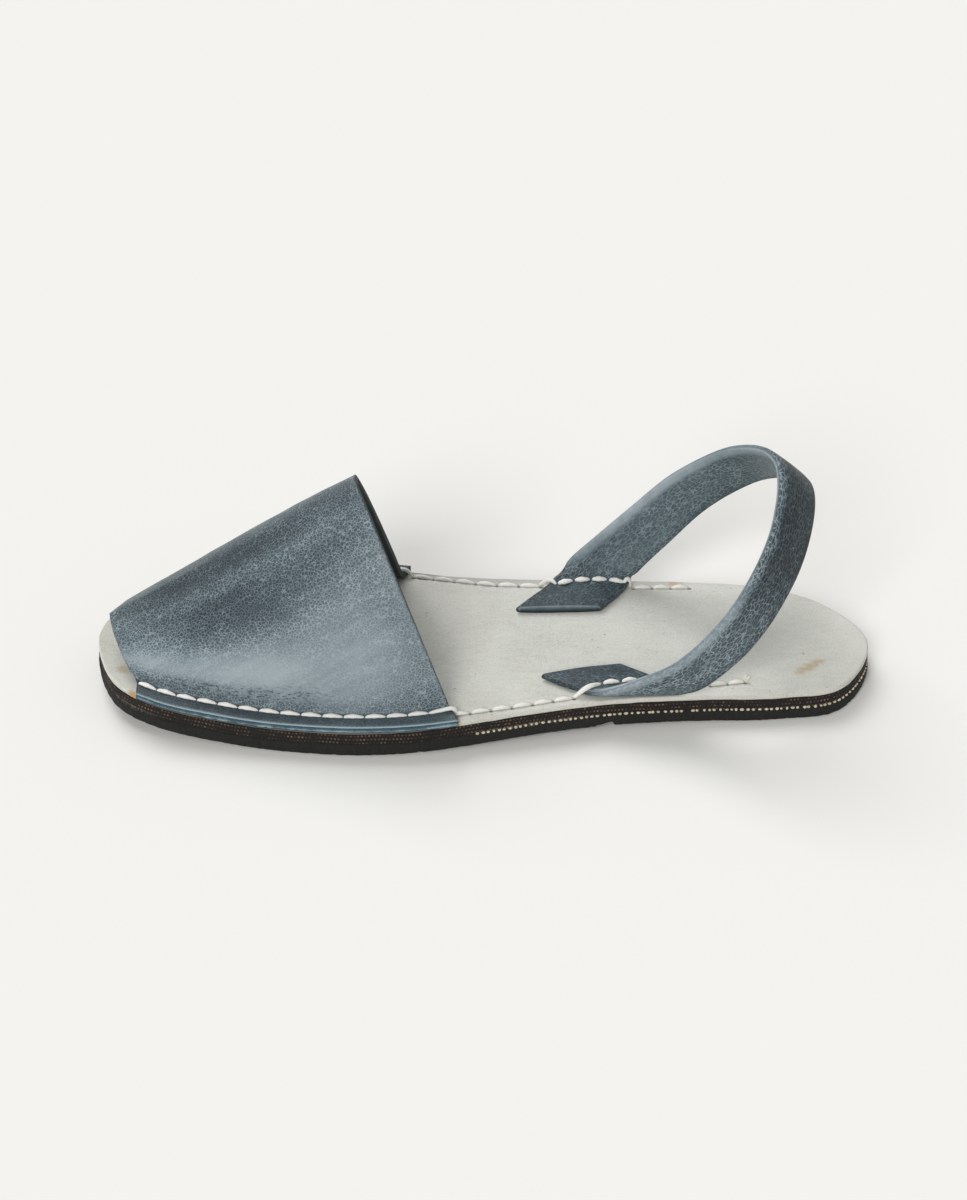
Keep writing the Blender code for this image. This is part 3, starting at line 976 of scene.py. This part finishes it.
# Broad pale and dark areas: the pale ones are paler pull-up leather and partly a painted highlight
# of its sheen, low on the lateral wall and along the stitches; the dark ones are painted shade over
# the top of the wall. Centre, half sizes and amount
PATCHES = table("back turn half_back half_turn amount", [
    (0.40, 0.11, 0.32, 0.07, 1.22),
    (0.82, 0.12, 0.22, 0.10, 0.75),
    (0.62, 0.03, 0.32, 0.05, 0.42),
    (0.06, 0.16, 0.10, 0.12, 0.55),
    (0.50, 0.25, 0.30, 0.06, -0.50),
    (0.85, 0.30, 0.18, 0.08, 0.30),
    (0.55, 0.88, 0.28, 0.07, 0.6),
    (0.40, 0.46, 0.45, 0.13, -0.68),
    (0.90, 0.50, 0.20, 0.08, -0.20),
])
# About how long the vamp is from toe to throat, and its turn from foot to foot
BACK_LENGTH = 100.0
TURN_LENGTH = 135.0
# How far the flange's rim hangs down over the insole's edge, for its outermost columns
FLANGE_DROOP = (0.9, 0.55, 0.15)
# The flange's columns of bend that count as wall, how far its grain fades, how dark it is at the
# toe, how much of that goes towards the throat, and how much paler its outermost columns are,
# rubbed and partly a painted highlight along the rim's corner
BEND_AS_WALL = 3
FLANGE_CALM = 0.55
FLANGE_DARK = 0.80
FLANGE_FADE = 0.45
LATERAL_CORNER = (3.0, 0.9, 0.0)
MEDIAL_CORNER = (0.0, 0.4, 0.9)
# Rings of the cut edge: share of the way down, bulge, sign of its ragged part, and paleness
EDGE_RINGS = table("share bulge ragged pale", [
    (0.18, 0.22, 1.0, 0.0),
    (0.66, 0.28, -1.0, 0.4),
    (0.86, 0.22, 1.0, 1.0),
])


def vamp_marks():
    """Height, paleness with painted highlight and painted shade, dark flecks and calm over the vamp's outer
    face.
    """
    rows, columns = VAMP_SHEET.shape[:2]
    back = np.linspace(0.0, 1.0, rows)[:, None] + np.zeros((1, columns))
    arch = np.clip((np.arange(columns) - FOOT_COLUMNS) / ARCH_STEPS, 0.0, 1.0)
    turn = arch[None, :] + np.zeros((rows, 1))
    flat = np.stack([back * BACK_LENGTH, turn * TURN_LENGTH], axis=-1)
    on_wall = np.zeros(columns)
    on_wall[FOOT_COLUMNS:columns - FOOT_COLUMNS] = 1.0
    height = np.zeros((rows, columns))
    pale = np.zeros((rows, columns))
    for crease in CREASES:
        start = (crease.back_start * BACK_LENGTH, crease.turn_start * TURN_LENGTH)
        end = (crease.back_end * BACK_LENGTH, crease.turn_end * TURN_LENGTH)
        gap, share = distance_to(flat, start, end)
        fade = ramp(share, 0.0, 0.25) * ramp(share, 1.0, 0.75)
        soft = np.exp(-(gap / crease.width) ** 2 * 2.0) * (0.35 + 0.65 * fade)
        height += crease.height * soft
        # Ridges paler; troughs darker in painted shade
        pale += crease.pale * soft
    # Broad patches: painted highlight of the sheen and painted shade on the top of the wall
    for patch in PATCHES:
        far = ((back - patch.back) / patch.half_back) ** 2 + ((turn - patch.turn) / patch.half_turn) ** 2
        pale += patch.amount * np.exp(-far)
    flecks = ramp(turn, 0.0, 0.02) * ramp(turn, 0.085, 0.045)
    flecks = flecks * ramp(back, 0.08, 0.2) * ramp(back, 0.78, 0.5)
    height += 0.25 * bumps(back * 5.0, turn * 7.0, 21) + 0.08 * bumps(back * 16.0, turn * 22.0, 22)
    pale += 0.15 * bumps(back * 6.0, turn * 9.0, 23)
    throat = ramp(back, 0.955, 1.0)
    toe = ramp(back, 0.03, 0.0)
    pale += 0.25 * (throat + toe)
    height *= on_wall
    flange = np.zeros(columns)
    flange[:FOOT_COLUMNS - BEND_AS_WALL] = 1.0
    flange[-FOOT_COLUMNS + BEND_AS_WALL:] = 1.0
    dark = FLANGE_DARK - FLANGE_FADE * ramp(back, 0.35, 0.75)
    pale = pale * (1.0 - flange) - dark * flange
    # Paler rim corners: rubbed leather and partly a painted highlight
    pale[:, :len(LATERAL_CORNER)] += LATERAL_CORNER
    pale[:, -len(MEDIAL_CORNER):] += MEDIAL_CORNER
    calm = FLANGE_CALM * flange + np.zeros((rows, 1))
    return height, pale, flecks, calm


def edge_loop(rows, columns):
    """Grid places round the sheet's border, and whether each is on a flange's rim."""
    toe = [(0, j, False) for j in range(columns - 1)]
    medial = [(i, columns - 1, True) for i in range(rows - 1)]
    throat = [(rows - 1, j, False) for j in range(columns - 1, 0, -1)]
    lateral = [(i, 0, True) for i in range(rows - 1, 0, -1)]
    return toe + medial + throat + lateral


def make_vamp():
    """Leather wall with its creases, a suede back and rounded cut edges."""
    height, pale, flecks, calm = vamp_marks()
    outer = VAMP_SHEET + height[..., None] * VAMP_NORMAL
    rows, columns = outer.shape[:2]
    front = ramp(np.linspace(0.0, 1.0, rows), 0.75, 0.35)
    for k, droop in enumerate(FLANGE_DROOP):
        for column in (k, columns - 1 - k):
            outer[:, column, 2] -= droop * (0.55 + 0.45 * front)
    seat = np.zeros(columns)
    seat[:FLANGE_COLUMNS] = GAP - SEAT
    seat[-FLANGE_COLUMNS:] = GAP - SEAT
    inner = outer - (VAMP_LEATHER + seat)[None, :, None] * VAMP_NORMAL
    shell = Points("pale", "dark", "flecks", "calm")
    face_out = shell.add(outer, **shades(pale), flecks=flecks, calm=calm).reshape(rows, columns)
    face_in = shell.add(inner).reshape(rows, columns)
    for i in range(rows - 1):
        shell.face(strip_faces(face_out[i], face_out[i + 1], False))
        shell.face(strip_faces(face_in[i], face_in[i + 1], False), 1)
    loop = edge_loop(rows, columns)
    around = np.array([outer[i, j] for i, j, _ in loop])
    ahead = np.roll(around, -1, axis=0) - np.roll(around, 1, axis=0)
    normal = np.array([VAMP_NORMAL[i, j] for i, j, _ in loop])
    out = unit(np.cross(ahead, normal))
    lower = np.array([inner[i, j] for i, j, _ in loop])
    ragged = 0.05 * bumps(np.arange(len(loop)) * 0.7, 0.0, 25)
    frayed = 0.85 + 0.40 * bumps(np.arange(len(loop)) * 0.45, 0.0, 26)
    edges = [[face_out[i, j] for i, j, _ in loop]]
    for ring in EDGE_RINGS:
        bulge = ring.bulge + ring.ragged * ragged
        spots = around + ring.share * (lower - around) + bulge[:, None] * out
        edges.append(shell.add(spots, pale=ring.pale * frayed))
    edges.append([face_in[i, j] for i, j, _ in loop])
    for one, two in zip(edges, edges[1:]):
        for quad, (_, _, on_rim) in zip(strip_faces(one, two, True), loop):
            shell.face([quad], 2 if on_rim else 1)
    piece = shell.piece("vamp_leather", [LEATHER, FLESH, CUT_EDGE])
    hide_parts("vamp")


make_vamp()


# Heel strap

def strap_path():
    """Middle line of the strap with its tilt, lean and width, and its direction."""
    rows = []
    for row in STRAP_SECTIONS:
        slope = math.degrees(math.atan(lift(row.along + 0.5) - lift(row.along - 0.5)))
        height = lift(row.along) + ON_TAB + row.above_tab
        rows.append((row.along, row.across, height, row.tilt + slope, row.lean, row.width))
    path = smooth_curve(rows, STRAP_STEPS, False, 3)
    ahead = np.gradient(path[:, :3], axis=0)
    return path, unit(ahead)


def strap_profile():
    """Rounded band section: share across from -1 to 1, and height from -1 to 1, going round."""
    wide = np.linspace(-1.0, 1.0, STRAP_FACE_COLUMNS)
    arc = np.linspace(0.5 * math.pi, -0.5 * math.pi, STRAP_EDGE_COLUMNS + 2)[1:-1]
    upper = [(w, 1.0, 0.0) for w in wide]
    right = [(1.0, math.sin(a), math.cos(a)) for a in arc]
    lower = [(w, -1.0, 0.0) for w in wide[::-1]]
    left = [(-1.0, math.sin(a), -math.cos(a)) for a in arc[::-1]]
    return np.array(upper + right + lower + left)


def make_heel_strap():
    """Band with rounded edges that rises from its tabs round the heel."""
    path, ahead = strap_path()
    profile = strap_profile()
    share_across, share_up, share_round = profile.T
    length = reach_of(path[:, :3])
    shell = Points("pale", "dark", "calm", "reach", "wide")
    rings = []
    for row, way, reach_along in zip(path, ahead, length):
        tilt = math.radians(row[3])
        lean = math.radians(row[4])
        line = np.array([math.cos(tilt) * math.cos(lean), math.sin(lean), math.sin(tilt) * math.cos(lean)])
        face = np.cross(way, line)
        squareness = np.linalg.norm(face)
        face /= squareness
        reach = 0.5 * row[5] / squareness
        flat = reach - STRAP_ROUND / squareness
        half = 0.5 * STRAP_LEATHER
        wave = 0.10 * bumps(reach_along * 0.14, share_across * 1.6, 31)
        crown = STRAP_CROWN * (1.0 - share_across ** 2) * np.sign(share_up) * (np.abs(share_up) > 0.99)
        wide = share_across * flat + share_round * STRAP_ROUND / squareness
        deep = share_up * half + wave + crown - STRAP_SINK
        inside = share_up > 0.0
        # Front is the upper rounded edge, paled as a painted highlight; back is the lower edge, darkened as
        # painted shade
        front = np.where(share_round > 0.0, 1.0, ramp(share_across, 0.66, 0.95) * (share_round == 0.0))
        back = np.where(share_round < 0.0, 1.0, ramp(share_across, -0.70, -1.0) * (share_round == 0.0))
        at = reach_along / length[-1]
        tab = max(float(ramp(at, 0.12, 0.07)), float(ramp(at, 0.90, 0.94)))
        behind = float(ramp(at, 0.40, 0.52) * ramp(at, 0.74, 0.62))
        pale = 0.30 * bumps(reach_along * 0.045, share_across * 0.9, 32) + 0.35 * inside * (1.0 - tab)
        # Painted highlight along the front edge, painted shade along the back edge and on the outer face
        # behind the heel; the tabs darker
        pale = pale + (1.0 - tab) * (1.1 * front - 0.35 * back) - 0.35 * tab - 0.85 * behind * ~inside
        calm = np.maximum(0.30 * inside, 0.12 * tab)
        spots = row[:3] + wide[:, None] * line + deep[:, None] * face
        rings.append(shell.add(spots, **shades(pale), calm=calm, reach=reach_along,
                               wide=wide + BACK_GRAIN * inside))
    shell.tube(rings)
    points = np.vstack(shell.points)
    far_face = STRAP_FACE_COLUMNS + STRAP_EDGE_COLUMNS
    for ring, way in ((rings[0], -ahead[0]), (rings[-1], ahead[-1])):
        middle = points[ring].mean(axis=0)
        # Each cut end: upper half paled as a painted highlight, lower half darkened as painted shade
        small = shell.add(middle + 0.93 * (points[ring] - middle) + 0.25 * way, pale=1.1 * (share_up > 0.0),
                          dark=1.2 * (share_up < 0.0), calm=0.4)
        shell.face(strip_faces(ring, small, True))
        for i in range(STRAP_FACE_COLUMNS - 1):
            over = far_face + STRAP_FACE_COLUMNS - 1 - i
            shell.face([(small[i], small[i + 1], small[over - 1], small[over])])
        shell.face([small[STRAP_FACE_COLUMNS - 1:far_face + 1]])
        shell.face([[*small[far_face + STRAP_FACE_COLUMNS - 1:], small[0]]])
    piece = shell.piece("heel_strap_leather", [STRAP_SKIN])
    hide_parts("heel_strap")
    return piece


STRAP_PIECE = make_heel_strap()


# Stitches

STITCH_PITCH = 7.0
STITCH_BOW = 0.5
STITCH_INSET = 0.05
# Below 1 the fullest part of a stitch lies nearer to its start
STITCH_SKEW = 0.85
THREAD_RADIUS = 0.82
VAMP_THREAD = 0.70
INSOLE_THREAD = 0.72
# How yellow the thread is where it crosses to the insole, on the tabs, where it climbs on them,
# in the insole, and at its cut ends
CROSS_AGED = 0.04
TAB_AGED = 0.05
CLIMB_AGED = 0.08
INSOLE_AGED = 0.12
TUFT_AGED = 0.25
THREAD_RINGS = 18
THREAD_SIDES = 12
THREAD_TWIST = 1.3


def add_stitch(shell, start, end, up, aged, radius=THREAD_RADIUS):
    """Leaf-shaped stitch of twisted thread that dives into the leather at both ends."""
    way = unit(end - start)
    up = unit(up - way * (up @ way))
    side = np.cross(up, way)
    rings = []
    for i in range(THREAD_RINGS + 1):
        share = i / THREAD_RINGS
        swell = max(math.sin(math.pi * share ** STITCH_SKEW), 0.0)
        rise = STITCH_BOW * swell ** 0.8 - 0.25 * (1.0 - swell ** 0.25)
        size = radius * (0.16 + 0.84 * swell ** 0.65)
        middle = start + share * (end - start) + rise * up
        ring = []
        for k in range(THREAD_SIDES):
            angle = 2.0 * math.pi * k / THREAD_SIDES
            ply = 1.0 + 0.06 * math.cos(2.0 * (angle - 2.0 * math.pi * THREAD_TWIST * share))
            ring.append(middle + size * ply * (math.cos(angle) * side * 1.12 + math.sin(angle) * up * 0.88))
        rings.append(shell.add(ring, aged=aged))
    shell.tube(rings, capped=True)


def add_thread(shell, spots, aged, radius=THREAD_RADIUS):
    """Thread along a smooth line through a few places, thinner at its ends."""
    line = evenly(smooth_curve(spots, THREAD_RINGS, False, 3), THREAD_RINGS)
    ahead = unit(np.gradient(line, axis=0))
    angles = 2.0 * math.pi * np.arange(THREAD_SIDES) / THREAD_SIDES
    helper = np.eye(3)[np.argmin(np.abs(ahead.mean(axis=0)))]
    rings = []
    for i, (spot, way) in enumerate(zip(line, ahead)):
        side = unit(np.cross(helper, way))
        other = np.cross(way, side)
        size = radius * (0.45 + 0.55 * max(math.sin(math.pi * i / THREAD_RINGS), 0.0) ** 0.5)
        ring = spot + size * (np.cos(angles)[:, None] * side + np.sin(angles)[:, None] * other)
        rings.append(shell.add(ring, aged=aged))
    shell.tube(rings, capped=True)


# Stitched columns of the vamp, and where each row's last thread lands on the insole
VAMP_ROWS = table("name column along across", [
    ("lateral", FLANGE_COLUMNS + 2, 134.0, 38.1),
    ("medial", -FLANGE_COLUMNS - 3, 147.9, -36.9),
])
ROW_END = 0.6
STITCH_TILT = np.array([0.0, 0.0, 0.6])


def vamp_stitches():
    """Rows of stitches through both flanges, each ending in a thread that crosses to the insole."""
    for row in VAMP_ROWS:
        line = VAMP_SHEET[:, row.column]
        normal = VAMP_NORMAL[:, row.column]
        reach = reach_of(line)
        count = round(reach[-1] / STITCH_PITCH)
        spots = np.linspace(ROW_END, reach[-1] - ROW_END, count + 1)
        holes = np.column_stack([np.interp(spots, reach, line[:, axis]) for axis in range(3)])
        shell = Points("aged")
        for k in range(count - 1):
            middle = int(np.searchsorted(reach, 0.5 * (spots[k] + spots[k + 1])))
            tip = normal[min(middle, VAMP_STATIONS)] + STITCH_TILT
            add_stitch(shell, holes[k], holes[k + 1], tip, 0.0, VAMP_THREAD)
        tip = unit(normal[-1] + STITCH_TILT)
        foot = on_insole(row.along, row.across)
        edge = line[-1] + 0.2 * (foot - line[-1]) * (1.0, 1.0, 0.0) + 0.7 * tip
        over = [holes[-2], 0.5 * (holes[-2] + holes[-1]) + 0.6 * tip, edge, foot]
        add_thread(shell, over, CROSS_AGED, VAMP_THREAD)
        piece = shell.piece(f"stitches_vamp_{row.name}", [THREAD])


def insole_stitches():
    """Runs of stitches sunk in the insole, ahead of and behind the strap's tabs."""
    shell = Points("aged")
    for run in INSOLE_RUNS:
        holes = run_holes(run)
        for one, two in zip(holes, holes[1:]):
            inset = STITCH_INSET * (two - one)
            start = on_insole(*(one + inset))
            end = on_insole(*(two - inset))
            add_stitch(shell, start, end, np.array([0.0, 0.0, 1.0]), INSOLE_AGED, INSOLE_THREAD)
    piece = shell.piece("stitches_insole", [THREAD])


STRAP_RUNS = [
    StitchRun([(88.0, 28.4), (82.0, 27.6), (76.0, 26.4)], 2),
    StitchRun([(99.6, -25.0), (92.6, -26.2), (80.0, -26.6), (76.6, -25.8)], 4),
]
# Threads that climb from the insole over the tab's edge into its first or last hole
CLIMBS = table("insole_along insole_across edge_along edge_across along across", [
    (97.2, 31.9, 92.6, 30.8, 88.4, 28.4),
    (105.2, -28.8, 101.6, -26.4, 99.8, -25.0),
    (74.6, -27.8, 75.8, -26.8, 77.2, -25.9),
])
# Cut ends of the thread that stand up from the last hole: lean along and across, and height
TUFT_SPOT = (41.2, 22.7)
TUFT_ENDS = [(-0.9, 0.3, 2.7), (0.3, -0.2, 3.0), (1.0, 0.4, 2.3)]
TUFT_RADIUS = 0.42
# Height from which places are dropped on the tabs
STRAP_EYE = 60.0


def strap_top(tree, along, across):
    """Place and direction of the strap's upper face above one place of the insole."""
    above = Vector(place((along, across, STRAP_EYE)))
    hit, normal, _, _ = tree.ray_cast(above, Vector((0.0, 0.0, -1.0)))
    return np.array(hit) / MM - FRAME_SHIFT, np.array(normal)


def strap_stitches():
    """Stitches through the strap's tabs, set on the leather from above, and the threads' ends."""
    mesh = STRAP_PIECE.data
    points = [v.co.copy() for v in mesh.vertices]
    tree = BVHTree.FromPolygons(points, [tuple(p.vertices) for p in mesh.polygons])
    shell = Points("aged")
    for run in STRAP_RUNS:
        spots = [strap_top(tree, along, across) for along, across in run_holes(run)]
        for (one, up_one), (two, up_two) in zip(spots, spots[1:]):
            inset = STITCH_INSET * (two - one)
            up = up_one + up_two
            add_stitch(shell, one + inset, two - inset, up if up[2] > 0.0 else -up, TAB_AGED)
    for climb in CLIMBS:
        low = on_insole(climb.insole_along, climb.insole_across)
        edge, _ = strap_top(tree, climb.edge_along, climb.edge_across)
        hole, _ = strap_top(tree, climb.along, climb.across)
        edge[2] += 0.8 * THREAD_RADIUS
        hole[2] -= 0.3 * THREAD_RADIUS
        add_thread(shell, [low, edge, hole], CLIMB_AGED)
    foot = on_insole(*TUFT_SPOT, -0.3)
    for lean in TUFT_ENDS:
        tip = foot + lean
        middle = 0.5 * (foot + tip) + (0.0, 0.0, 0.3)
        add_thread(shell, [foot, middle, tip], TUFT_AGED, TUFT_RADIUS)
    piece = shell.piece("stitches_strap", [THREAD])


vamp_stitches()
insole_stitches()
strap_stitches()


# Cut cord ends in the rubber's side

CORD_PITCH = 1.8
CORD_LEVEL = 4.75
CORD_FROM = 130.0
CORD_WIDE = 0.58
CORD_TALL = 0.46
# Below this value of the noise a cord end is missing
CORD_MISSING = -0.93
# Outward reach and size of the rings that make one cord end
CORD_RINGS = ((-0.5, 1.0), (0.12, 1.0), (0.30, 0.75), (0.38, 0.35))
CORD_ANGLES = np.arange(8)[:, None] * math.pi / 4.0


def cord_dots():
    """Row of cream cord ends from waist to waist round the heel."""
    shell = Points()
    upright = np.array([0.0, 0.0, 1.0])
    total = RING_REACH[-1] + np.linalg.norm(RING[0] - RING[-1])
    for k in range(int(total / CORD_PITCH)):
        at = (k + 0.25 * float(bumps(k * 0.9, 0.0, 41))) * CORD_PITCH
        along = float(np.interp(at, RING_REACH, RING[:, 0]))
        if along > CORD_FROM or float(bumps(k * 0.37, 0.0, 42)) < CORD_MISSING:
            continue
        spot = np.array([along, float(np.interp(at, RING_REACH, RING[:, 1])), 0.0])
        out = np.array([np.interp(at, RING_REACH, RING_OUT[:, 0]),
                        np.interp(at, RING_REACH, RING_OUT[:, 1]), 0.0])
        ahead = np.array([out[1], -out[0], 0.0])
        spot[2] = float(lift(along)) + CORD_LEVEL + 0.15 * float(bumps(k * 0.2, 0.0, 43))
        wide = CORD_WIDE + 0.16 * float(bumps(k * 1.3, 0.0, 44))
        tall = CORD_TALL + 0.12 * float(bumps(k * 1.7, 0.0, 45))
        oval = np.cos(CORD_ANGLES) * wide * ahead + np.sin(CORD_ANGLES) * tall * upright
        shell.tube([shell.add(spot + reach * out + size * oval) for reach, size in CORD_RINGS], capped=True)
    piece = shell.piece("cord_ends", [CORD])


cord_dots()


# Floor, light and camera

FLOOR_COLOUR = (0.905, 0.897, 0.864)
FLOOR_REACH = 40.0


def make_floor():
    """Wide pale floor."""
    mesh = bpy.data.meshes.new("floor")
    corners = [(FLOOR_REACH * x, FLOOR_REACH * y, 0.0) for x, y in ((-1, -1), (1, -1), (1, 1), (-1, 1))]
    mesh.from_pydata(corners, [], [(0, 1, 2, 3)])
    n = Nodes("floor")
    mesh.materials.append(n.set(Base_Color=(*FLOOR_COLOUR, 1.0), Roughness=0.95, Specular_IOR_Level=0.1))
    floor = show("floor", mesh)


# Light from the room and from two wide soft lamps, as shares of what a level floor gets:
# the lamps' directions from the sandal and the angle that each fills
ROOM_SHARE = 0.33
LAMPS = table("name along across up angle share", [
    ("key", 0.40, -0.60, 1.0, 40.0, 0.39),
    ("front", 0.40, 1.00, 0.75, 26.0, 0.28),
])


def aim(item, ahead):
    """Turn a lamp or a camera to look ahead."""
    item.rotation_mode = "QUATERNION"
    item.rotation_quaternion = ahead.to_track_quat("-Z", "Y")


def make_lamp(row):
    """Distant soft lamp that shines along one direction."""
    toward = Vector((row.along, row.across, row.up)).normalized()
    light = bpy.data.lights.new(row.name, "SUN")
    light.angle = math.radians(row.angle)
    light.energy = row.share * math.pi / toward.z
    aim(show(row.name, light), -toward)


def make_light():
    """Bright even room with a large lamp behind and above and a soft one in front."""
    world = bpy.data.worlds.new("studio")
    world.use_nodes = True
    back = world.node_tree.nodes["Background"]
    back.inputs["Color"].default_value = (1.0, 1.0, 1.0, 1.0)
    back.inputs["Strength"].default_value = ROOM_SHARE
    bpy.context.scene.world = world
    for row in LAMPS:
        make_lamp(row)


def make_camera():
    """The photograph's camera, turned down to the sandal."""
    data = bpy.data.cameras.new("camera")
    data.sensor_width = SENSOR
    data.lens = SENSOR * FOCAL_PIXELS / PICTURE_HEIGHT
    camera = show("camera", data)
    camera.location = place(CAMERA_SPOT)
    level = math.cos(CAMERA_PITCH)
    aim(camera, Vector((math.sin(CAMERA_TURN) * level, -math.cos(CAMERA_TURN) * level,
                        -math.sin(CAMERA_PITCH))))
    bpy.context.scene.camera = camera


make_floor()
make_light()
make_camera()
bpy.context.scene.view_settings.view_transform = "Standard"
